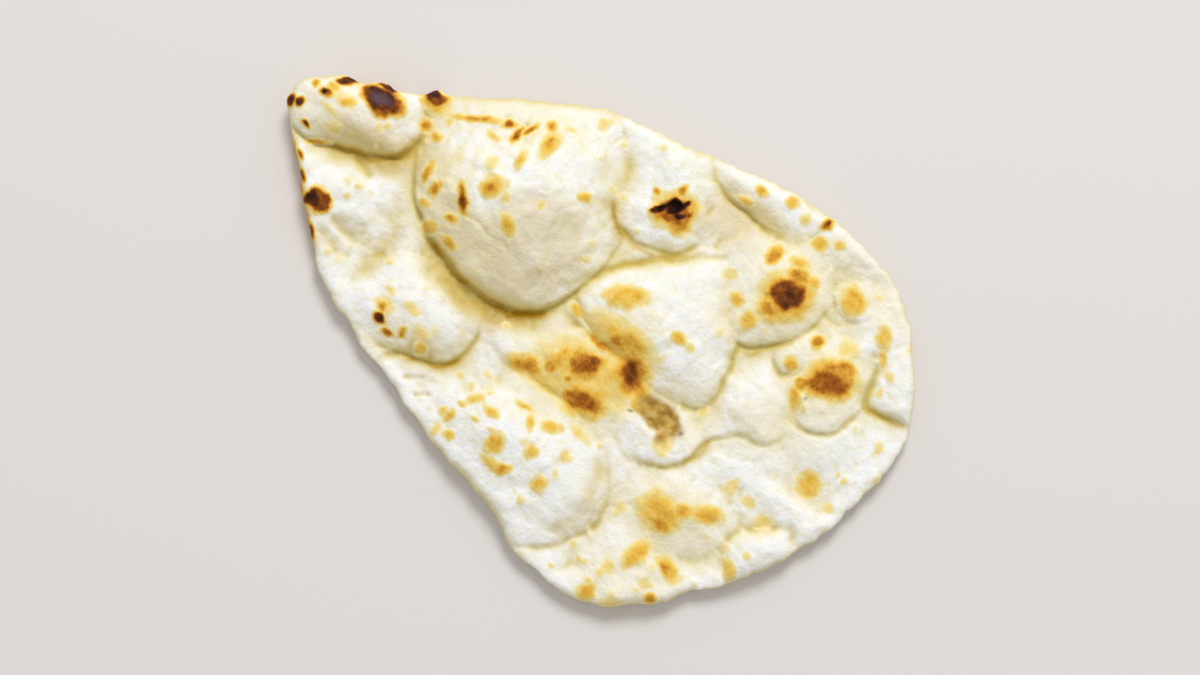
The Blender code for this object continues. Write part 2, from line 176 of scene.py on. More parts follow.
SWELLS = (
    Swell("left flank", (-104, -24), 6.0, (30, 26, 19, 24, 38, 38, 32, 30)),
    Swell("left hem", (-80, -52), 3.5, (24, 20, 18, 20, 28, 30, 22, 24)),
    Swell("middle bubble", (89, 15), 4.0, (22, 22, 22, 22, 22, 20, 18, 20)),
    Swell("golden bubble", (94, -42), 4.5, (26, 25, 24, 26, 28, 24, 20, 22)),
    Swell("bench", (-12, -28), 3.0, (28, 16, 12, 16, 24, 14, 12, 16)),
    Swell("back shoulder", (-8, 74), 3.5, (34, 22, 18, 22, 34, 24, 18, 22)),
    Swell("back slope", (34, 66), 2.0, (22, 20, 16, 18, 20, 16, 18, 18)),
    Swell("back rim blister", (77, 90), 2.5, (20, 18, 16, 18, 20, 12, 10, 12)),
    Swell("back end shoulder", (113, 74), 3.0, (22, 22, 22, 20, 20, 18, 18, 18)),
    Swell("right apron", (126, 20), 3.5, (34, 30, 26, 24, 24, 22, 24, 30)),
    Swell("right ridge", (124, -11), 3.0, (34, 16, 11, 14, 28, 14, 11, 16)),
    Swell("front apron", (92, -76), 4.5, (34, 28, 24, 26, 28, 28, 28, 32)),
)

# Seams pinched into the dough. lip is how far the side on the left of the seam stands above the other. A seam
# runs out over 1 / TAPER of its length at each end, and has TAPER_LEAST there to start with.
LIP_REACH = 9.0
TAPER, TAPER_LEAST = 4, 0.1
Seam = namedtuple("Seam", "name depth width lip points")

SEAMS = (
    Seam("below the great bubble", 2.4, 3.0, 0, (
        (-74, -9), (-62, -17), (-46, -20.5), (-26, -20.5), (-11, -13), (-3, -3))),
    Seam("trough by the great bubble", 2.6, 6.0, 0, (
        (-70, -17), (-56, -23), (-40, -26), (-24, -26), (-10, -20), (-2, -10))),
    Seam("left valley", 1.6, 6.0, 0, ((-88, -10), (-79, -24), (-77, -40), (-82, -58))),
    Seam("left dent", 1.4, 3.0, 0, ((-104, -33), (-97, -36), (-89, -35), (-84, -27))),
    Seam("lower left dent", 1.3, 2.8, 0, ((-106, -44), (-97, -42), (-89, -44), (-82, -40))),
    Seam("back fold", 1.3, 2.0, 0, (
        (-2, -5), (-1, 8), (4, 19), (12, 30), (25, 43), (38, 54), (47, 61))),
    Seam("front fold", 1.0, 1.4, 1.1, (
        (55, -36), (66, -34), (76, -30), (82, -20), (82.5, -12), (88, -3), (95, 1.5), (103, 4.5), (109, 15))),
    Seam("right band", 0.8, 3.6, 0, ((102, -5), (116, -5), (132, -4.5), (147, -6))),
    Seam("broad end fold", 1.6, 1.6, 0, (
        (119, 62), (122, 53), (126, 44), (134, 44.5), (141, 47), (152, 45.5))),
    Seam("centre side", 0.6, 1.3, 0.5, ((74, -4), (72.5, 8), (71, 20), (67, 29))),
    Seam("centre foot", 1.3, 1.7, 1.5, ((-2, -5), (8, -6.5), (20, -5.5), (32, -3))),
    Seam("tip fork", 1.4, 1.8, 0, ((-114, -6), (-106, -9), (-97, -12.5))),
    Seam("lower left tail", 0.7, 1.8, 0, ((-20, -37), (-12, -35.5), (-3, -36.5), (6, -38))),
    Seam("golden bubble's side", 0.9, 2.8, 0, ((100, -57), (110, -53), (115, -42), (115, -31), (111, -24))),
    Seam("hem pleat", 1.6, 2.2, 0, ((-41, -62), (-46, -67), (-48, -74))),
    Seam("front rim pleat", 0.8, 2.4, 0, ((113, -30), (119, -29), (125, -23), (133, -18), (139, -24))),
)

# The pinch around a bubble's foot: its depth, its width, and how slowly and how much the depth swings. Where
# another bubble stands PINCH_TOP high there is none.
PINCH, PINCH_WIDTH, PINCH_TOP = 2.0, 1.7, 7.0
CUT_WAVE, CUT_SWING = 24.0, 0.9

# Places where the skin tore or fell in, and how steep their sides are
HOLLOW_STEEPNESS = 1.6
Hollow = namedtuple("Hollow", "name centre half_length half_width turn depth")

HOLLOWS = (
    Hollow("slit", (8.5, 58.5), 8.0, 3.2, 56, 3.5),
    Hollow("fallen skin", (60.5, -15), 13.0, 7.5, -8, 2.2),
    Hollow("fallen corner", (69, -22), 5.0, 5.5, 0, 1.6),
)

# Wrinkles too fine for the solid, as seams with the depth and the width of each group
WRINKLES = (
    (0.7, 1.1, (
        ((-70, 13), (-66, 9), (-62.5, 4.5), (-60, 1.5), (-53, 2.5), (-46, 1.5), (-36, 0.5)),
        ((-64, 54), (-62, 50), (-62.5, 45)),
        ((23, 73), (22.5, 65), (20, 58)),
        ((50, -20), (54, -17.5), (59, -18.5), (62, -22)),
        ((72, -14.5), (66, -12), (59, -13)),
        ((-37, -70), (-31, -65.5), (-26, -63)),
        ((-28, -73), (-24, -69), (-20, -67)),
        ((118, -31), (124, -24), (130, -20)),
    )),
    (0.5, 1.8, (
        ((-86, -27), (-92, -31), (-98, -30)),
        ((-80, -33), (-88, -37), (-97, -36), (-103, -39)),
        ((32, 58), (36, 64), (37, 72)),
        ((84, 66), (93, 63), (103, 69)),
        ((46, -41), (56, -50), (60, -62)),
        ((66, -50), (70, -60), (66, -72), (59, -83)),
        ((-13, 49), (-9, 42), (-8, 34), (-10, 24)),
        ((96, -20), (104, -24), (111, -24)),
        ((114, -29), (109, -21), (105, -13)),
        ((117, -28), (114, -20), (114, -12)),
    )),
)

# Browned spots, from pale gold to char. fade says how gently a spot fades out, from 0 for a sharp rim to 1
# for a fall from its very middle. Each spot is its centre, half length and half width, and turn in degrees.
Spots = namedtuple("Spots", "name tone fade spots")

SPOTS = (
    Spots("char", 0.94, 0.5, (
        (5.2, 55, 4.4, 1.9, 50), (9.8, 60, 5.6, 3.3, 56), (13.6, 58.2, 2.8, 1.5, 25),
        (12.4, 64, 2.4, 1.3, 70))),
    Spots("scorched", 0.86, 0.65, (
        (-116.8, 18, 9.4, 6.0, 8), (-119, 24.5, 4.4, 1.4, 10), (-133.5, 15.3, 4.4, 2.0, 32),
        (-147.3, -6.3, 1.8, 3, 15), (-144, -4.3, 1.9, 2.5, 0), (-101, 34.5, 4.4, 2.3, 15),
        (-113, -33.5, 4.0, 3.8, -15), (-59, -55, 2.8, 2.3, 0), (-138, 6, 1.4, 1.3, 0))),
    Spots("seared", 0.775, 0.55, (
        (71, 60.4, 8.4, 7.0, 0), (-111, -32.5, 6.0, 5.0, -15))),
    Spots("dark brown", 0.77, 0.8, (
        (-135.7, -10.2, 2.4, 1.4, 0), (-62.3, 5.5, 3.8, 2.3, -48), (-99, 33, 5.6, 3.4, 20),
        (39.5, -7.2, 7.2, 3.9, -48), (-129.7, -21.7, 2.2, 1.1, -40), (-123, -28.5, 3.4, 1.3, -40),
        (-105, -45, 4.5, 1.1, -42), (65, 95.5, 1.3, 1.9, 0), (16, 60, 2.6, 2.0, 50))),
    Spots("warm brown", 0.665, 0.85, (
        (23.5, -15, 7.0, 4.3, 40), (32.5, -28.8, 7.0, 4.0, 20), (106.5, 40.5, 7.6, 4.8, 25))),
    Spots("brown", 0.655, 0.85, (
        (10.5, 58, 9.0, 5.4, 52), (71, 60.3, 6.4, 6.0, 0), (39.5, -7.7, 9.2, 5.6, -46),
        (22, -16.5, 9.2, 5.6, 38), (31, -29.3, 9.6, 5.2, 18), (108, 41, 10.6, 6.6, 25),
        (-53, -58, 2.5, 2, 0), (-63, 6, 6.8, 2.2, -48), (-110, 19.5, 4.5, 3.2, 10),
        (-67.7, 44.3, 3.4, 1.5, 45), (-62, 42.5, 1.9, 4, 0), (-58.7, 47.7, 1.4, 3.7, -15),
        (-137, 6.3, 3.0, 2.1, 20), (65, 94.6, 2.0, 2.9, 0), (14.5, 58, 4.4, 4.8, 20))),
    Spots("orange halo", 0.48, 0.9, (
        (39, -7.5, 11, 8, -40), (22.5, -17, 10.5, 7.5, 38), (31.5, -29, 10.5, 7, 22),
        (2.5, -32, 7.5, 4.5, 18), (11, 58.5, 10, 7.5, 50), (71, 59.5, 11, 10.5, 0))),
    Spots("golden brown", 0.56, 0.95, (
        (2.3, -32.3, 5.4, 3.1, 18), (47, -11, 5.6, 3.2, -15), (108, 43.5, 10.5, 8.0, 25),
        (110, 51, 4.8, 4.2, 0), (99, 34.5, 3.6, 3.0, 45), (10.5, 56.5, 6.5, 3.6, 50),
        (-143.3, 6.3, 1.7, 1.9, 0), (-80.5, 36.8, 9, 1.6, 34), (-52.6, 54.6, 2.3, 2.2, 0),
        (-48.7, 49, 1.7, 3.4, 0), (-56.6, 18, 2.0, 2.8, 0), (-75, 3, 2.4, 4.5, 0), (-82, 6, 1.8, 4.6, 10),
        (-61.5, -3.5, 3.1, 2.1, 0), (-61, -51, 2.4, 2.3, 0), (-47.3, -54.3, 1.9, 2.4, 0),
        (92.8, 52.5, 2.8, 3.2, 0), (55.5, 70.5, 3.0, 4.4, -10), (15, 57, 5.8, 6.2, 0),
        (8.7, 67.7, 1.7, 3.2, 0), (0, 60.7, 1.7, 1.3, 0), (35.4, 88.7, 3.1, 2.3, 0),
        (69.7, 68.5, 5, 3.8, 0), (68.3, 50, 4.8, 3.6, 0), (22, -5, 7.8, 2.1, 0), (26.3, 0, 4.4, 2.2, 0),
        (105.4, -77, 3.0, 2.2, 20), (89.5, -49.5, 4.6, 3.0, 0), (22.3, -73.2, 2.6, 3.0, -45),
        (-127, -12.6, 4.4, 1.2, 32), (-95, 21.7, 1.9, 2.2, 0), (11, -26.3, 2.6, 2.3, 0),
        (20.3, -27, 2.2, 2, 0), (102, -63.5, 4, 1.7, -10))),
    Spots("golden", 0.42, 1.0, (
        (51, -15, 5.0, 3.4, 0), (-136.3, 10, 2.8, 1.6, 0), (-127.5, 8, 2.8, 2.1, 0),
        (-95, 21.7, 2.9, 3.1, 0), (-88.5, 20.7, 2.5, 2, 0), (-97.5, 31, 6.5, 3.6, 10),
        (-69.7, 36, 2.9, 1.5, 0), (-54, 35, 1.8, 3.9, 15), (-48.5, 47.8, 3.2, 6.2, 0),
        (-56.6, 18.3, 4.4, 5.2, 0), (-41, 9.3, 5.2, 2.5, -25), (-75, -5, 2.7, 1.6, 0),
        (-66.5, -11.5, 3.2, 3.6, 0), (-56, -12.3, 4.6, 2.0, 0), (-37, -55, 2.9, 2.6, 0),
        (-23, 39, 2.6, 2.2, 0), (-6, -57.5, 2.2, 3.5, -30), (3.6, -56.8, 3.4, 2, 0),
        (-13.4, -69.7, 1.6, 2, 0), (-9.7, -69.7, 1.8, 2.9, 0), (-4.3, -76.3, 2.4, 2, 0),
        (-8.3, -62.3, 1.9, 1.1, 0), (0.3, -63.7, 1.5, 1, 0), (32, 81.3, 3.1, 1.8, 0),
        (48.3, 92.7, 2.3, 2.7, -40), (68.3, 86.3, 2.8, 3.4, -50), (75, 91, 2, 2, 0),
        (94.3, 75.5, 6.2, 5.2, -45), (114.3, 71.7, 4.8, 3.2, -55), (119, 65, 3.6, 1.7, -55),
        (66.3, 74, 3.8, 2.5, 0), (76.3, 71, 2.8, 2.5, 0), (69, 51, 6, 5.4, 0), (65, 41.7, 3.8, 3.8, 0),
        (55, 45.7, 3.3, 3, 0), (90.7, 38.3, 3.2, 2.7, 0), (100, 28, 5.5, 2.4, -52),
        (127.7, 2.3, 4.8, 5.4, 20), (17.5, 17, 8.4, 4.6, 35), (46.3, 17, 3.4, 2.4, 0),
        (30, 2, 11.5, 6.2, 0), (5, -1, 3.6, 2.5, 0), (14, -21, 8, 5, 30), (86, -46.5, 9.6, 7.5, 0),
        (101.7, -35, 7.2, 3.9, 25), (93, -39.5, 4.5, 3.2, 35), (88.5, -65.7, 3.9, 6.8, -8),
        (103.7, -62.7, 6.1, 3.5, -12), (81.7, -91.7, 3.4, 3.6, 0), (27.7, -46.3, 4.1, 2.3, 25),
        (13.5, -46, 4.2, 1.2, 5), (19.3, -50.5, 1.4, 3.6, 20), (27.3, -60, 2.7, 3.0, 0),
        (13, -67, 3.7, 4.6, 0), (17.7, -74.3, 4.6, 2.1, 0), (38.3, -68.3, 3.3, 3.4, 0),
        (123.3, -47, 4.6, 2.5, -40))),
    Spots("pale gold", 0.22, 1.0, (
        (-130, 8, 3.6, 2.6, 0), (68.5, -22.5, 4.2, 4.8, 20), (-131, 1, 4.8, 1.5, 0),
        (-125.5, -4.3, 3.8, 2.6, 0), (-88, 29, 2, 2, 0), (-35.7, 69, 2.3, 2.2, 0),
        (-45.7, 58.3, 2.4, 1.2, 0), (-35.7, 25.7, 2.2, 2.2, 0), (-63, 26.3, 2.2, 3.6, 0),
        (-49, 17.7, 2.2, 2.7, 0), (-50.3, -43.7, 3.7, 2.1, 0), (-62.7, -43, 2.6, 1.7, 0),
        (-60, -50, 4.5, 4, 0), (-40.3, -49.7, 4.4, 2.8, 0), (46.3, 51.7, 2.4, 2.4, 0),
        (57, 91, 2.2, 2.6, 0), (105.7, 58.3, 4.8, 4, 0), (126.3, 75, 1.6, 3, 10), (127, 51, 1.6, 1.6, 0),
        (140.3, -0.3, 2.7, 2.5, 0), (52.3, 17, 1.8, 2.2, 0), (17.7, 5, 3.8, 2.4, 0), (73.3, 0.3, 1.8, 3, 0),
        (113, -19, 2.7, 2.9, 0), (122.3, -22.3, 3.6, 2.9, 40), (103, -19, 2.4, 4.6, 10),
        (94, -88.5, 6.5, 2.3, 30), (97.7, -77.7, 1.5, 1.3, 0), (83, -77.7, 3.4, 3.2, 0),
        (99.7, -73.7, 3.0, 2.0, 0), (71.7, -55.5, 2.2, 3.2, 0), (63.3, -91.7, 1.5, 1.1, 0),
        (38.3, -41, 5.6, 2.3, -5), (39.7, -52.3, 2.3, 2.3, 0), (9, -63.6, 2.9, 1, 0),
        (-10.3, -77.7, 2, 2.7, 0), (-16.3, -53.7, 2, 1.5, 0), (-7, -45.7, 2.3, 1.2, 0),
        (1.3, 57.5, 2, 1.6, 0))),
    Spots("toasted ground", 0.30, 0.9, (
        (25, -20, 22, 13, 10), (14, -32.5, 14, 4.4, 6), (38, -12, 11, 10, 0), (28, 1, 17, 8, 0))),
    Spots("faint ground", 0.07, 0.9, (
        (-53, -3, 25, 10, -12), (-72, 8, 18, 12, -50), (26, 12, 16, 10, 15), (70, 58, 15, 19, 0),
        (107, 43, 14, 17, 0), (88, -44, 18, 14, 20))),
)

# Toast along the rim, laid out as the wrinkles are, with a tone and a width
RIM_TOAST = (
    (0.56, 1.5, (((-146, -11), (-139, -17), (-128, -26), (-116, -36.5), (-104, -46.5), (-94, -54.5)),)),
)

# How far a spot's outline strays, how ragged its rim is, as a share of its size and at the most, and the
# power that overlapping spots are summed with
SPOT_WANDERS = ((9.0, 1.1), (3.2, 0.7))
SPOT_RAGS = ((4.6, 1.0), (2.1, 0.6))
RAG_SHARE, RAG_MOST = 0.2, 1.0
SPOT_UNION = 12.0

# Patches of other colours: the width that a patch fades out over, of which TINT_OUTSIDE lies outside its
# outline, and its spots, laid out as above. Cream lies broadly over the dough, as a creamier tone and on
# some slopes as painted shade; tan is painted shade on the sides of bubbles turned away from the lamp;
# olive is where the skin fell in; ash lies on char with a painted bluish sheen; and a crack is a dark gap.
TINT_OUTSIDE = 0.4
TINTS = {
    # A creamier tone of the dough, and on some slopes painted shade
    "cream_and_shade": (14.0, (
        (-128, 0, 24, 16, 30), (-50, -6, 44, 14, -12), (20, -18, 34, 26, 10), (70, 55, 26, 26, 0),
        (40, 78, 30, 9, 0), (-40, -54, 20, 10, 20), (108, 38, 20, 22, 0), (92, -46, 24, 18, 0),
        (92, -76, 26, 14, 20), (70, -5, 16, 16, 0), (-64, 50, 30, 12, 32), (102, 12, 22, 14, 20),
        (60, 36, 16, 10, 0), (-118, 0, 26, 10, 20), (95, 84, 34, 12, -10))),
    # Painted shade, in tan, on the sides of bubbles turned away from the lamp
    "painted_tan_shade": (9.0, (
        (-27, 9, 24, 25, 10), (-58, -6, 16, 8, -25), (-96, 0, 11, 6, 50), (-84, 8, 7, 12, -20),
        (34, 68, 16, 9, -10), (-115, 1, 14, 5, 18), (40, 81, 18, 3, 0))),
    "olive": (3.6, ((60.5, -13.8, 12.6, 6.4, -8), (66.5, -19.5, 3.4, 4.6, 0))),
    # Ash on char, with a painted bluish sheen
    "ash_and_sheen": (3.2, ((-117.5, 18, 4.6, 2.8, 8), (-102.5, 34.8, 1.6, 0.9, 15))),
    "crack": (1.4, (
        (49.6, -19.8, 1.2, 0.7, 20), (71.9, -14.8, 0.7, 1.1, 0), (103.7, 30.7, 0.7, 0.7, 0),
        (56, -17.6, 1.6, 0.2, 10))),
}

# Painted shade: olive yellow painted along creases and at the feet of bubbles, for the shadow under their
# overhangs, laid out as the wrinkles are, with the strength and the width of each group
PAINTED_SHADE_WANDER = (9.0, 2.0)
PAINTED_SHADES = (
    (1.05, 3.8, (((-40, -21.5), (-30, -22.5), (-19, -21), (-11, -16), (-5.5, -9.5), (-1, -2)),)),
    (0.85, 4.6, (((-48, -25), (-36, -25.5), (-25, -25), (-17, -22), (-11, -18.5), (-6, -12), (-2, -5)),)),
    (0.55, 6.0, (((-42, -27), (-24, -29), (-12, -25)),)),
    (0.9, 2.6, (
        ((-68, -13), (-58, -18.5), (-50, -20.5), (-40, -22), (-30, -22.5)),
        ((-19.5, -42), (-21, -50), (-27, -57), (-36, -60.5), (-46, -61)),
        ((-14, 50), (-9, 42), (-4, 37.5), (4, 36)),
        ((-134, -13), (-122, -9.5), (-112, -6.5), (-104, -4), (-97.5, 3), (-95, 12), (-95, 20)))),
    (0.75, 5.5, (
        ((-64, -17), (-50, -23), (-30, -26.5), (-14, -21), (-7, -13)),
        ((-34, -26), (-24, -26.5), (-15, -22), (-8, -14)),
        ((-106, -8), (-99, -2), (-94, 6), (-93, 16)),
        ((-44, -53), (-36, -56), (-28, -53)))),
    (0.45, 4.5, (
        ((-133, -8), (-124, -3), (-112, -1), (-103, 4), (-98, 12)),
        ((16, 78), (28, 80), (42, 80), (56, 82)),
        ((18, 72), (24, 62), (30, 60)),
        ((-80, -12), (-77, -24), (-76, -38), (-80, -50)),
        ((-110, -40), (-100, -44), (-90, -43), (-83, -40)),
        ((50, -40), (57, -53), (60, -66), (52, -86)),
        ((-92, 22), (-90, 10), (-84, 0)))),
    (0.25, 4.0, (((-104, -32), (-95, -34), (-87, -33), (-82, -27)),)),
    (0.7, 1.7, (
        ((-1, -4), (6, -5.6), (14, -5.2), (22, -3.6)),
        ((86, 47), (82, 43), (78, 37), (73, 31), (66, 29.5)),
        ((82, -6), (83, -12), (82.5, -20), (78, -28)),
        ((124, 42), (130, 43.5), (138, 45.5), (148, 46)),
        ((-4, 38), (8, 36.5), (18, 39), (28, 48), (36, 55)),
        ((40, 75.5), (48, 77), (58, 79.5)),
        ((0, 18), (5, 23), (12, 31), (22, 41)))),
)


def curve_between(p0, p1, p2, p3, t):
    """The Catmull-Rom curve that runs from p1 to p2."""
    squared = 2 * p0 - 5 * p1 + 4 * p2 - p3
    cubed = 3 * (p1 - p2) + p3 - p0
    return 0.5 * (2 * p1 + (p2 - p0) * t + squared * t**2 + cubed * t**3)


def evenly_spaced(path, spacing):
    """The path cut into equal steps of about that spacing."""
    along = np.concatenate([[0], np.cumsum(np.linalg.norm(np.diff(path, axis=0), axis=1))])
    at = np.linspace(0, along[-1], round(along[-1] / spacing) + 1)
    return np.stack([np.interp(at, along, path[:, axis]) for axis in (0, 1)], 1)


def smooth_path(points, spacing, closed=False):
    """A curve through the points. A closed one leaves out the last point, which would repeat the first."""
    ends = np.array(points, float)
    if closed:
        ends = np.vstack([ends[-1], ends, ends[:2]])
    else:
        ends = np.vstack([2 * ends[0] - ends[1], ends, 2 * ends[-1] - ends[-2]])
    t = np.linspace(0, 1, STEPS_BETWEEN_POINTS)[:, None]
    pieces = [curve_between(*four, t) for four in zip(ends, ends[1:], ends[2:], ends[3:])]
    path = evenly_spaced(np.vstack(pieces), spacing)
    return path[:-1] if closed else path


def nearest_on(xy, path, closed=False):
    """Each point's distance to the path, how far along the path the nearest place is, and its side.

    The place runs from 0 to 1, and the side is 1 on the left of the path and -1 on the right.
    """
    starts = path if closed else path[:-1]
    ends = np.roll(path, -1, 0) if closed else path[1:]
    best = np.full(len(xy), np.inf)
    place, hand = np.zeros(len(xy)), np.ones(len(xy))
    for i, (a, b) in enumerate(zip(starts, ends)):
        step, away = b - a, xy - a
        t = np.clip(away @ step / (step @ step), 0, 1)
        gap = np.linalg.norm(away - t[:, None] * step, axis=1)
        nearer = gap < best
        best[nearer] = gap[nearer]
        place[nearer] = (i + t[nearer]) / len(starts)
        hand[nearer] = np.sign(step[0] * away[nearer, 1] - step[1] * away[nearer, 0])
    return best, place, hand


def inside(xy, loop):
    """True for each point within the closed loop."""
    found = np.zeros(len(xy), bool)
    for (x0, y0), (x1, y1) in zip(loop, np.roll(loop, -1, 0)):
        if y0 != y1:
            crosses = (y0 > xy[:, 1]) != (y1 > xy[:, 1])
            found ^= crosses & (xy[:, 0] < (x1 - x0) * (xy[:, 1] - y0) / (y1 - y0) + x0)
    return found


def smooth_step(share):
    share = np.clip(share, 0, 1)
    return share * share * (3 - 2 * share)


def radius_at(form, angle):
    """The radius of the bubble's or swelling's outline in that direction."""
    radii = np.array(form.radii, float)
    turn = angle / (2 * math.pi) % 1 * len(radii)
    i = turn.astype(int) % len(radii)
    four = [radii[(i + k) % len(radii)] for k in (-1, 0, 1, 2)]
    return curve_between(*four, turn - np.floor(turn))


def reach(xy, form):
    """Each point's direction from the form's centre, its distance as a share of the radius, the radius."""
    away = xy - np.array(form.centre, float)
    angle = np.arctan2(away[:, 1], away[:, 0])
    radius = radius_at(form, angle)
    return angle, np.linalg.norm(away, axis=1) / radius, radius


def dome(xy, bubble):
    """The bubble's height at each point, and the depth of the pinch around its foot."""
    angle, share, radius = reach(xy, bubble)
    gentle = bubble.soft * smooth_step(EASING * (1 - np.cos(angle - math.radians(bubble.lean))))
    flat = math.sqrt(1 - bubble.edge**2)
    curved = np.minimum(share, 1 - STRAIGHT * (1 - bubble.edge))
    root = np.sqrt(1 - (flat * curved) ** 2)
    cap = (root - bubble.edge - flat**2 * curved / root * (share - curved)) / (1 - bubble.edge)
    cap *= smooth_step((1 - share) * radius / DROP_WIDTH)
    slope = np.clip(1 - share**2, 0, 1) ** SLOPE_POWER
    pinch = PINCH * (1 - bubble.edge) * (1 - gentle) ** 2
    pinch *= np.exp(-(((share - 1) * radius / PINCH_WIDTH) ** 2))
    return bubble.height * np.maximum(cap * (1 - gentle) + slope * gentle, 0), pinch


def ellipse_share(xy, centre, half_length, half_width, turn):
    """How far out each point lies in a turned ellipse: 0 at its centre and 1 on its edge."""
    turn = math.radians(turn)
    away = xy - np.array(centre, float)
    along = away @ [math.cos(turn), math.sin(turn)] / half_length
    across = away @ [-math.sin(turn), math.cos(turn)] / half_width
    return np.hypot(along, across)


def noise_sum(xy, waves):
    """Perlin noise at a few wavelengths, each with its height."""
    total = np.zeros(len(xy))
    for layer, (wavelength, height) in enumerate(waves):
        total += [height * noise.noise(Vector((x / wavelength, y / wavelength, layer))) for x, y in xy]
    return total


def wander(xy, wavelength, size):
    """How far each point is moved before something is read there, so that no outline is too regular."""
    moves = [noise.noise_vector(Vector((x, y, 0)) / wavelength)[:2] for x, y in xy]
    return np.array(moves) * size


def lift_of(xy, rim):
    """How far the underside rises off the table, towards the rim and under the tip."""
    curl = RIM_LIFT * np.clip(1 - rim / RIM_LIFT_REACH, 0, 1) ** 2
    tip = np.clip((xy[:, 0] - TIP_LIFT_START) / (TIP_LIFT_END - TIP_LIFT_START), 0, 1) ** 2
    return curl + TIP_LIFT * tip


def relief_of(xy):
    """The height of bubbles, seams and hollows over the plain layer of dough."""
    xy = xy + wander(xy, WANDER_WAVE, WANDER)
    total, cut, lip = np.zeros(len(xy)), np.zeros(len(xy)), np.zeros(len(xy))
    for bubble in BUBBLES:
        height, pinch = dome(xy, bubble)
        total += height**UNION
        cut = np.maximum(cut, pinch)
    raised = total ** (1 / UNION)
    cut *= np.clip(1 - raised / PINCH_TOP, 0, 1) * (1 + noise_sum(xy, ((CUT_WAVE, CUT_SWING),)))
    for swell in SWELLS:
        raised += swell.height * np.clip(1 - reach(xy, swell)[1] ** 2, 0, 1) ** 2
    for seam in SEAMS:
        gap, place, hand = nearest_on(xy, smooth_path(seam.points, PATH_SPACING))
        taper = smooth_step(TAPER * np.minimum(place, 1 - place) + TAPER_LEAST)
        cut = np.maximum(cut, seam.depth * taper * np.exp(-((gap / seam.width) ** 2)))
        left = 0.5 + 0.5 * np.tanh(hand * gap / seam.width)
        lip += seam.lip * taper * left * np.exp(-((gap / LIP_REACH) ** 2))
    for hollow in HOLLOWS:
        share = ellipse_share(xy, hollow.centre, hollow.half_length, hollow.half_width, hollow.turn)
        cut += hollow.depth * smooth_step(HOLLOW_STEEPNESS * (1 - share))
    return raised + lip - cut


def along_paths(xy, groups):
    """How near each point is to the groups' paths: a group's strength on a path, fading over its width."""
    total = np.zeros(len(xy))
    for strength, width, paths in groups:
        for points in paths:
            gap, place, _ = nearest_on(xy, smooth_path(points, PATH_SPACING))
            taper = smooth_step(TAPER * np.minimum(place, 1 - place))
            total = np.maximum(total, strength * taper * np.exp(-((gap / width) ** 2)))
    return total


def top_of(xy, rim):
    """The height of the upper surface."""
    lift = lift_of(xy, rim)
    edge = lift + EQUATOR
    full = lift + DOUGH + CROWN * smooth_step(rim / CROWN_REACH) + noise_sum(xy, WAVES)
    full += relief_of(xy + sum(wander(xy, *size) for size in EDGE_WANDERS))
    rounding = np.clip(EDGE_ROUND * (full - edge), EDGE_ROUND_LEAST, EDGE_ROUND_MOST)
    share = np.clip(rim / rounding, 0, 1)
    return edge + (full - edge) * np.sqrt(1 - (1 - share) ** 2)


def under_of(xy, rim):
    """The height of the underside, which is flat but for its lifted, rounded rim."""
    share = np.clip(rim / UNDER_ROUND, 0, 1)
    return lift_of(xy, rim) + EQUATOR * (1 - np.sqrt(1 - (1 - share) ** 2))


def blisters(xy):
    """The height of the small blisters strewn over the dough, and how browned their tops are."""
    draw = np.random.default_rng(BLISTER_SEED)
    raised, browned = np.zeros(len(xy)), np.zeros(len(xy))
    for _ in range(BLISTERS):
        centre = draw.uniform(xy.min(0), xy.max(0))
        radius, height = draw.uniform(*BLISTER_RADII), draw.uniform(*BLISTER_HEIGHTS)
        tone = draw.uniform(*BLISTER_TONES)
        share = np.linalg.norm(xy - centre, axis=1) / radius
        raised = np.maximum(raised, height * np.clip(1 - share**2, 0, 1) ** BLISTER_POWER)
        browned = np.maximum(browned, tone * smooth_step(TOP_FULL - TOP_FADE * share))
    return raised, browned


def browning(xy):
    """How browned each point is, from 0 for white to 1 for char."""
    xy = xy + sum(wander(xy, *size) for size in SPOT_WANDERS)
    ragged = noise_sum(xy, SPOT_RAGS)
    total = np.zeros(len(xy))
    for group in SPOTS:
        for x, y, half_length, half_width, turn in group.spots:
            share = ellipse_share(xy, (x, y), half_length, half_width, turn)
            size = min(half_length, half_width)
            edge = group.fade * (1 + size)
            within = (1 - share) * size + 0.5 * edge + min(RAG_SHARE * size, RAG_MOST) * ragged
            total += (group.tone * smooth_step(within / edge)) ** SPOT_UNION
    return np.clip(total ** (1 / SPOT_UNION), 0, 1)


def tint(xy, edge, patches):
    """How strong a colour is at each point, from 0 to 1, when its patches fade out over the edge's width."""
    xy = xy + sum(wander(xy, *size) for size in SPOT_WANDERS)
    strongest = np.zeros(len(xy))
    for x, y, half_length, half_width, turn in patches:
        share = ellipse_share(xy, (x, y), half_length, half_width, turn)
        within = (1 - share) * min(half_length, half_width) + TINT_OUTSIDE * edge
        strongest = np.maximum(strongest, smooth_step(within / edge))
    return strongest


def inwards_of(loop):
    """The direction into the loop at each of its points."""
    along = np.roll(loop, -1, 0) - np.roll(loop, 1, 0)
    return np.stack([-along[:, 1], along[:, 0]], 1) / np.linalg.norm(along, axis=1)[:, None]


def rings_within(loop, insets):
    """Copies of the loop moved inwards, without the points that fall too near another part of it."""
    inwards = inwards_of(loop)
    for inset in insets:
        ring = loop + inwards * inset
        yield ring[nearest_on(ring, loop, closed=True)[0] > RING_GAP * inset]


def triangular_lattice(low, high, spacing):
    rows = []
    for row, y in enumerate(np.arange(low[1], high[1], spacing * math.sqrt(3) / 2)):
        x = np.arange(low[0] + spacing / 2 * (row % 2), high[0], spacing)
        rows.append(np.stack([x, np.full(len(x), y)], 1))
    return np.vstack(rows)


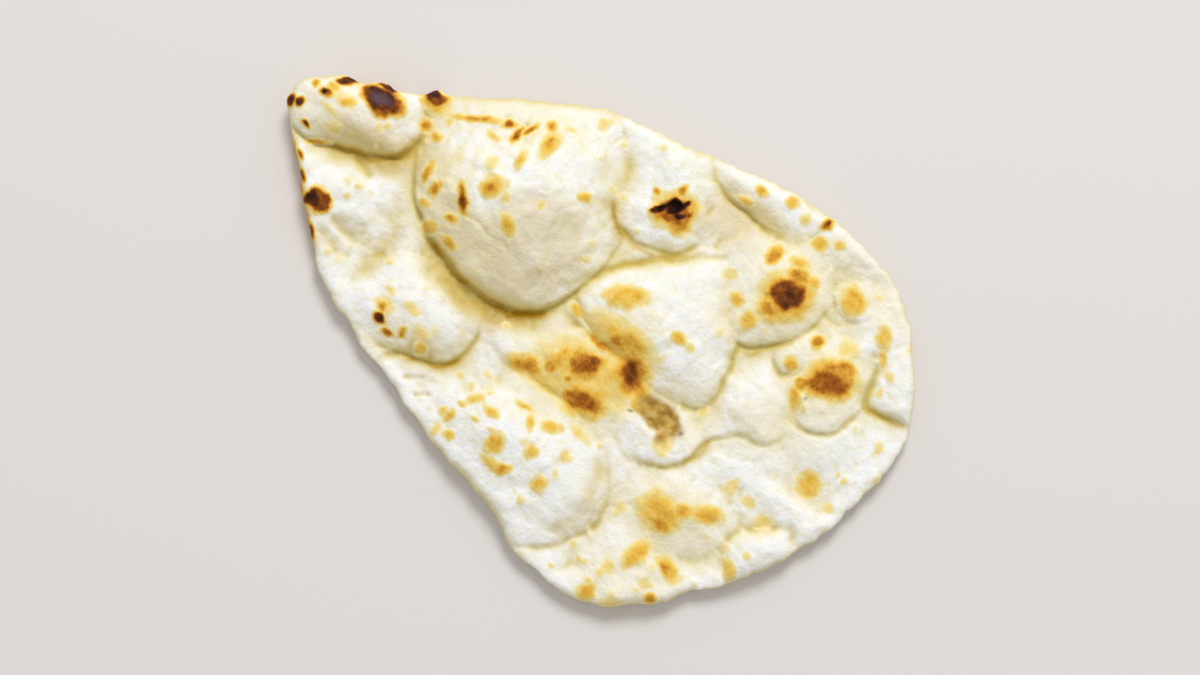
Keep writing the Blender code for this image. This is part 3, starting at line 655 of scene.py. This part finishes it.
def spread_points(loop, rings, spacing):
    """Points for the mesh: the outline, rings that follow it, and a lattice between them."""
    fill = triangular_lattice(loop.min(0), loop.max(0), spacing)
    fill = fill[inside(fill, loop)]
    fill = fill[nearest_on(fill, loop, closed=True)[0] > rings[-1] + LATTICE_GAP * spacing]
    return np.vstack([loop, *rings_within(loop, rings), fill])


def triangles_over(points, outline_count):
    """Delaunay triangles between the points, within the outline, all turned anticlockwise."""
    edges = [(i, (i + 1) % outline_count) for i in range(outline_count)]
    made = delaunay_2d_cdt([Vector(p) for p in points], edges, [], 1, 1e-6)
    corners = np.array(made[2])
    a, b, c = points[corners[:, 0]], points[corners[:, 1]], points[corners[:, 2]]
    turn = (b - a)[:, 0] * (c - a)[:, 1] - (b - a)[:, 1] * (c - a)[:, 0]
    corners[turn < 0] = corners[turn < 0][:, ::-1]
    return corners


def rim_distance(points, loop):
    rim = nearest_on(points, loop, closed=True)[0]
    rim[: len(loop)] = 0
    return rim


def blurred(values, edges, rounds):
    """The values averaged with their neighbours', over and over."""
    one, other = edges[:, 0], edges[:, 1]
    count = len(values)
    neighbours = np.bincount(one, minlength=count) + np.bincount(other, minlength=count)
    for _ in range(rounds):
        total = np.bincount(one, values[other], count) + np.bincount(other, values[one], count)
        values = 0.5 * values + 0.5 * total / neighbours
    return values


def edges_of(triangles):
    pairs = np.vstack([triangles[:, [0, 1]], triangles[:, [1, 2]], triangles[:, [2, 0]]])
    return np.unique(np.sort(pairs, axis=1), axis=0)


# The camera looks almost straight down. Its azimuth and elevation are in degrees, and FRAME_WIDTH is how
# wide a strip it sees at the bread.
LENS, SENSOR = 85.0, 36.0
AZIMUTH, ELEVATION = 38.5, 85.0
AIM = (19.7, -3.6, 8.0)
FRAME_WIDTH = 510.0
CAMERA_DISTANCE = FRAME_WIDTH * LENS / SENSOR


def look_along(azimuth, elevation):
    """The direction of a view, as a unit vector."""
    turn, tilt = math.radians(azimuth), math.radians(elevation)
    return Vector((-math.sin(turn) * math.cos(tilt), math.cos(turn) * math.cos(tilt), -math.sin(tilt)))


def as_seen(xy, height):
    """Where the camera sees each point of the bread on the level plane through the camera's aim."""
    camera = np.array(Vector(AIM) - look_along(AZIMUTH, ELEVATION) * CAMERA_DISTANCE)
    reach_of_ray = (AIM[2] - camera[2]) / (height - camera[2])
    return camera[:2] + (xy - camera[:2]) * reach_of_ray[:, None]


def sunken_fields(height, rim, edges):
    """Painted shade where the top lies in a fine line, in a crease or in a valley between its bubbles."""
    around_line, around_crease = blurred(height, edges, LINE_ROUNDS), blurred(height, edges, CREASE_ROUNDS)
    around_valley = blurred(around_crease, edges, VALLEY_ROUNDS - CREASE_ROUNDS)
    inset = rim / CREASE_INSET
    line_shade = np.clip((around_line - height) / LINE_DEPTH, 0, 1) * smooth_step(inset - 0.5)
    crease_yellow_and_shade = np.clip((around_crease - height) / CREASE_DEPTH, 0, 1) * smooth_step(inset)
    return {
        "line_shade": blurred(line_shade, edges, SOFTENING_ROUNDS),
        "crease_yellow_and_shade": blurred(crease_yellow_and_shade, edges, SOFTENING_ROUNDS),
        "valley_shade": np.clip((around_valley - height) / VALLEY_DEPTH, -1, 1),
    }


def crust_mesh(name):
    """The closed surface with its fine relief, and what the material reads at each point."""
    loop = smooth_path(OUTLINE, OUTLINE_SPACING, closed=True)
    loop = loop + inwards_of(loop) * noise_sum(loop, OUTLINE_WAVES)[:, None]
    top = spread_points(loop, TOP_RINGS, TOP_SPACING)
    under = spread_points(loop, UNDER_RINGS, UNDER_SPACING)
    top_rim = rim_distance(top, loop)
    top_height = top_of(top, top_rim)
    marked = as_seen(top, top_height)
    moved = top + sum(wander(top, *size) for size in FINE_WANDERS)
    raised, blister_tops = blisters(moved)
    toast = np.max([browning(marked), along_paths(marked, RIM_TOAST), blister_tops], axis=0)
    rough = smooth_step((toast - ROUGH_FROM) / ROUGH_OVER)
    fine = noise_sum(moved, FINE_WAVES) + rough * noise_sum(top, CHAR_WAVES)
    fine += raised - along_paths(marked, WRINKLES) + TOAST_RISE * smooth_step(2 * toast)
    top_height += fine * smooth_step(top_rim / FINE_INSET)
    under_rim = rim_distance(under, loop)
    under_height = under_of(under, under_rim)

    upper, lower = triangles_over(top, len(loop)), triangles_over(under, len(loop))
    lower = np.where(lower < len(loop), lower, lower + len(top) - len(loop))[:, ::-1]
    points = np.vstack([
        np.column_stack([top, top_height]),
        np.column_stack([under, under_height])[len(loop):],
    ])
    data = bpy.data.meshes.new(name)
    data.from_pydata((points * MM).tolist(), [], np.vstack([upper, lower]).tolist())
    data.shade_smooth()
    normals = np.zeros(3 * len(points))
    data.vertices.foreach_get("normal", normals)
    steep = smooth_step((1 - normals[2::3][: len(top)]) / STEEP)
    # Painted shade rides on the sunken fields, the shade paths, tan, part of the cream and the flank
    fields = {
        "toast": toast,
        **sunken_fields(top_height, top_rim, edges_of(upper)),
        "painted_shade": along_paths(marked + wander(marked, *PAINTED_SHADE_WANDER), PAINTED_SHADES),
        **{tinted: tint(marked, *patches) for tinted, patches in TINTS.items()},
        # Painted shade on steep walls, with their creamier, less floury dough
        "flank_cream_and_shade": steep * (RIM_FLANK + (1 - RIM_FLANK) * smooth_step((top_rim - FLANK_INSET) / FLANK_OVER)),
        "beneath": np.zeros(len(top)),
    }
    rolled = 1 - smooth_step(under_rim / ROLLED)
    place_on_rim = nearest_on(under, loop, closed=True)[1]
    nearest = np.round(place_on_rim * len(loop)).astype(int) % len(loop)
    under_fields = {
        "toast": rolled * toast[nearest],
        "flank_cream_and_shade": RIM_FLANK * rolled,
        "beneath": smooth_step(under_rim / BENEATH),
    }
    for field, values in fields.items():
        under_values = under_fields.get(field, np.zeros(len(under)))[len(loop):]
        whole = np.concatenate([values, under_values])
        data.attributes.new(field, "FLOAT", "POINT").data.foreach_set("value", whole)
    return data


class Nodes:
    """A short way to write shader nodes: each call makes a node and returns its first output."""

    def __init__(self, material):
        self.tree = material.node_tree

    def new(self, kind, inputs=(), **settings):
        node = self.tree.nodes.new("ShaderNode" + kind)
        for key, value in settings.items():
            setattr(node, key, value)
        for key, value in dict(inputs).items():
            if isinstance(value, bpy.types.NodeSocket):
                self.tree.links.new(value, node.inputs[key])
            else:
                node.inputs[key].default_value = value
        return node

    def field(self, name):
        return self.new("Attribute", attribute_name=name).outputs["Fac"]

    def math(self, operation, *values, clamp=False):
        return self.new("Math", dict(enumerate(values)), operation=operation, use_clamp=clamp).outputs[0]

    def noise(self, wavelength, detail, roughness=0.5):
        """Noise from 0 to 1, with its wavelength in millimetres."""
        place = self.new("TexCoord").outputs["Object"]
        settings = {"Vector": place, "Scale": 1 / (wavelength * MM), "Detail": detail, "Roughness": roughness}
        return self.new("TexNoise", settings).outputs[0]

    def step(self, value, low, high):
        """0 below low and 1 above high, with a smooth rise between them."""
        settings = {"Value": value, "From Min": low, "From Max": high}
        return self.new("MapRange", settings, interpolation_type="SMOOTHSTEP").outputs[0]

    def mix(self, share, one, other):
        """One colour where the share is 0 and the other where it is 1."""
        return self.new("Mix", {0: share, 6: one, 7: other}, data_type="RGBA").outputs[2]

    def ramp(self, value, stops):
        """The colour that the stops, each a place from 0 to 1 and its colour, give the value."""
        node =self.new("ValToRGB", {"Fac": value})
        ramp = node.color_ramp
        while len(ramp.elements) < len(stops):
            ramp.elements.new(0.5)
        for element, (place, colour) in zip(ramp.elements, stops):
            element.position = place
            element.color = colour
        return node.outputs["Color"]


def rgb(red, green, blue):
    """A colour given as the eye sees it, from 0 to 255, turned into the linear values that shaders use."""
    def linear(value):
        value /= 255
        return value / 12.92 if value <= 0.04045 else ((value + 0.055) / 1.055) ** 2.4
    return linear(red), linear(green), linear(blue), 1


FLOUR_WHITE = rgb(253, 252, 251)
# A creamier tone of the dough, and on some slopes painted shade
CREAM_AND_SHADE = rgb(247, 237, 205)
GREENISH = rgb(248, 249, 240)
FLOUR_YELLOW = rgb(247, 242, 218)
# Painted shade in creases, fine lines and valleys; the crease colour also stands for thinner flour there
CREASE_YELLOW_AND_SHADE = rgb(220, 202, 116)
LINE_SHADE_OLIVE = rgb(184, 157, 72)
VALLEY_SHADE_CREAM = rgb(228, 212, 146)
# Painted shade on steep walls, with their creamier, less floury dough
FLANK_CREAM_AND_SHADE = rgb(238, 225, 166)
# Painted shade along creases and under bubbles, turning deeper olive where it is strongest
PAINTED_SHADE_YELLOW = rgb(210, 182, 82)
DEEP_PAINTED_SHADE = rgb(184, 142, 26)
# Painted shade on the sides of bubbles turned away from the lamp
TAN_SHADE = rgb(226, 203, 146)
# Ash with a painted bluish sheen
ASH_AND_SHEEN = rgb(98, 78, 88)
CRACK = rgb(70, 52, 26)
OLIVE = rgb(208, 170, 84)
DARK_OLIVE = rgb(168, 132, 58)
TOAST = (
    (0.0, rgb(250, 241, 212)), (0.12, rgb(246, 230, 172)), (0.25, rgb(243, 216, 132)),
    (0.40, rgb(239, 193, 78)), (0.54, rgb(214, 152, 52)), (0.68, rgb(168, 97, 26)), (0.80, rgb(112, 58, 20)),
    (0.88, rgb(72, 34, 18)), (0.95, rgb(36, 15, 7)),
)

# Wavelengths of the noise that breaks the colours up, and how far it swings a half toasted place
SPECKLE, FLECK, PATCH, BLOTCH = 1.1, 3.4, 4.5, 9.0
SPECKLE_SWING, PATCH_SWING, SWING_BIAS = 0.9, 1.5, -1.2
SURELY_CHAR = 1.1

# The underside's own browning: a tone all over, and patches of it, each with the wavelength, the part of
# the noise that it rises over, and the tone
UNDER_TONE = 0.1
UNDER_PATCHES = ((24.0, 0.42, 0.7, 0.3), (7.0, 0.52, 0.76, 0.4))

# The finest relief: wavelengths of pores and grain, how much deeper the pores are, and the depth in metres
PORES, GRAIN, PORE_SHARE = 1.8, 0.55, 2.2
BUMP_STRENGTH, BUMP_DEPTH = 0.65, 0.0004

# Floury dough is rough, and from a tone on it gets smoother towards char
FLOUR_ROUGHNESS, CHAR_ROUGHNESS, SMOOTHER_FROM = 0.85, 0.55, 0.7
DOUGH_SETTINGS = {
    "Subsurface Weight": 0.1,
    "Subsurface Radius": (1.0, 0.6, 0.25),
    "Subsurface Scale": 0.004,
    "Specular IOR Level": 0.12,
}


def browned_share(nodes, speckle, patch):
    """How browned the crust is, with the underside's own browning. Half toasted places are ragged."""
    baked = UNDER_TONE
    for wavelength, low, high, tone in UNDER_PATCHES:
        patches = nodes.step(nodes.noise(wavelength, detail=4.0), low, high)
        baked = nodes.math("MULTIPLY_ADD", patches, tone, baked)
    toast = nodes.math("MULTIPLY_ADD", nodes.field("beneath"), baked, nodes.field("toast"))
    unsure = nodes.math("MULTIPLY", toast, nodes.math("SUBTRACT", SURELY_CHAR, toast))
    swing = nodes.math("MULTIPLY_ADD", patch, PATCH_SWING, SWING_BIAS)
    swing = nodes.math("MULTIPLY_ADD", speckle, SPECKLE_SWING, swing)
    return nodes.math("MULTIPLY_ADD", unsure, swing, toast, clamp=True)


def crust_colour(nodes, toast, speckle, patch):
    """The colour, in layers from the flour up, each with the share that it covers. The valley, flank, tan,
    crease, line and shade layers paint shade, the cream layer partly, and the ash layer paints a sheen on
    char.
    """
    def part(name, most):
        return nodes.math("MULTIPLY", nodes.field(name), most)

    blotch = nodes.noise(BLOTCH, detail=3.0)
    unevenness = nodes.math("SUBTRACT", blotch, 0.5)
    valley_shade = nodes.math("MULTIPLY_ADD", unevenness, 0.5, nodes.field("valley_shade"), clamp=True)
    # Painted shade along creases and at the feet of bubbles, broken up by the blotches
    painted_shade = nodes.math("MULTIPLY", nodes.field("painted_shade"), nodes.step(blotch, 0.1, 0.55), clamp=True)
    worn = nodes.math("MULTIPLY_ADD", patch, 0.8, 0.6, clamp=True)
    layers = (
        (nodes.step(blotch, 0.35, 0.75), GREENISH),
        (nodes.step(nodes.noise(FLECK, detail=3.0), 0.45, 0.75), FLOUR_YELLOW),
        (part("cream_and_shade", 0.6), CREAM_AND_SHADE),
        (valley_shade, VALLEY_SHADE_CREAM),
        (part("flank_cream_and_shade", 0.85), FLANK_CREAM_AND_SHADE),
        (part("painted_tan_shade", 0.5), TAN_SHADE),
        (nodes.math("MULTIPLY", nodes.step(nodes.field("crease_yellow_and_shade"), 0.08, 0.9), 0.45), CREASE_YELLOW_AND_SHADE),
        (nodes.math("MULTIPLY", nodes.step(nodes.field("line_shade"), 0.1, 0.9), 0.4), LINE_SHADE_OLIVE),
        (painted_shade, nodes.mix(nodes.step(painted_shade, 0.5, 1.0), PAINTED_SHADE_YELLOW, DEEP_PAINTED_SHADE)),
        (nodes.step(toast, 0.0, 0.14), nodes.ramp(toast, TOAST)),
        (nodes.math("MULTIPLY", nodes.field("olive"), worn),
         nodes.mix(nodes.step(patch, 0.4, 0.65), OLIVE, DARK_OLIVE)),
        (nodes.math("MULTIPLY", nodes.field("ash_and_sheen"), nodes.step(speckle, 0.2, 0.6)), ASH_AND_SHEEN),
        (part("crack", 0.8), CRACK),
    )
    colour = FLOUR_WHITE
    for share, layer in layers:
        colour = nodes.mix(share, colour, layer)
    return colour


def crust_material():
    """Floury dough that browns from gold to char, with painted shade in its creases, valleys and shaded
    sides, and a painted sheen on its char.
    """
    material = bpy.data.materials.new("naan_crust")
    material.use_nodes = True
    nodes = Nodes(material)
    shader = material.node_tree.nodes["Principled BSDF"]
    speckle = nodes.noise(SPECKLE, detail=4.0, roughness=0.65)
    patch = nodes.noise(PATCH, detail=3.0)
    toast = browned_share(nodes, speckle, patch)

    grain = nodes.noise(GRAIN, detail=3.0, roughness=0.6)
    pores = nodes.noise(PORES, detail=4.0, roughness=0.6)
    height = nodes.math("MULTIPLY_ADD", pores, PORE_SHARE, grain)
    bump = nodes.new("Bump", {"Height": height, "Strength": BUMP_STRENGTH, "Distance": BUMP_DEPTH})
    gloss = nodes.new("MapRange", {
        "Value": toast, "From Min": SMOOTHER_FROM, "To Min": FLOUR_ROUGHNESS, "To Max": CHAR_ROUGHNESS})
    shown = {
        "Base Color": crust_colour(nodes, toast, speckle, patch),
        "Normal": bump.outputs["Normal"],
        "Roughness": gloss.outputs[0],
    }
    for key, socket in shown.items():
        material.node_tree.links.new(socket, shader.inputs[key])
    for key, value in DOUGH_SETTINGS.items():
        shader.inputs[key].default_value = value
    return material


def build_crust():
    crust = bpy.data.objects.new("naan_crust_skin", crust_mesh("naan_crust_skin"))
    crust.data.materials.append(crust_material())
    bpy.context.scene.collection.objects.link(crust)
    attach(crust, "root")
    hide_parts("naan")


# Half of the floor's side, in metres, and the shader's settings for its paint
FLOOR_HALF = 3.0
FLOOR_SETTINGS = {"Base Color": rgb(228, 223, 220), "Roughness": 0.9, "Specular IOR Level": 0.1}


def build_floor():
    half = FLOOR_HALF
    data = bpy.data.meshes.new("floor")
    corners = [(-half, -half, 0), (half, -half, 0), (half, half, 0), (-half, half, 0)]
    data.from_pydata(corners, [], [(0, 1, 2, 3)])
    floor = bpy.data.objects.new("floor", data)
    material = bpy.data.materials.new("floor_paint")
    material.use_nodes = True
    shader = material.node_tree.nodes["Principled BSDF"]
    for key, value in FLOOR_SETTINGS.items():
        shader.inputs[key].default_value = value
    data.materials.append(material)
    bpy.context.scene.collection.objects.link(floor)


def place(item, azimuth, elevation, distance):
    """Puts a lamp or the camera at a distance from the aim, which it points at."""
    direction = look_along(azimuth, elevation)
    item.location = (Vector(AIM) - direction * distance) * MM
    item.rotation_euler = direction.to_track_quat("-Z", "Y").to_euler()
    bpy.context.scene.collection.objects.link(item)


def build_camera():
    data = bpy.data.cameras.new("camera")
    data.lens, data.sensor_width = LENS, SENSOR
    camera = bpy.data.objects.new("camera", data)
    place(camera, AZIMUTH, ELEVATION, CAMERA_DISTANCE)
    bpy.context.scene.camera = camera


# The lamp's width is in metres and its power in watts. It shines along its azimuth.
KEY_WIDTH, KEY_POWER = 1.2, 53.0
KEY_AZIMUTH, KEY_ELEVATION, KEY_DISTANCE = AZIMUTH + 165, 50.0, 3000.0
SKY_STRENGTH = 0.54


def build_light():
    data = bpy.data.lights.new("key", "AREA")
    data.shape, data.size, data.energy = "DISK", KEY_WIDTH, KEY_POWER
    place(bpy.data.objects.new("key", data), KEY_AZIMUTH, KEY_ELEVATION, KEY_DISTANCE)
    world = bpy.data.worlds.new("studio")
    world.use_nodes = True
    world.node_tree.nodes["Background"].inputs["Color"].default_value = (1, 1, 1, 1)
    world.node_tree.nodes["Background"].inputs["Strength"].default_value = SKY_STRENGTH
    bpy.context.scene.world = world
    bpy.context.scene.view_settings.view_transform = "Standard"


def main():
    noise.seed_set(NOISE_SEED)
    build_crust()
    build_floor()
    build_camera()
    build_light()


main()
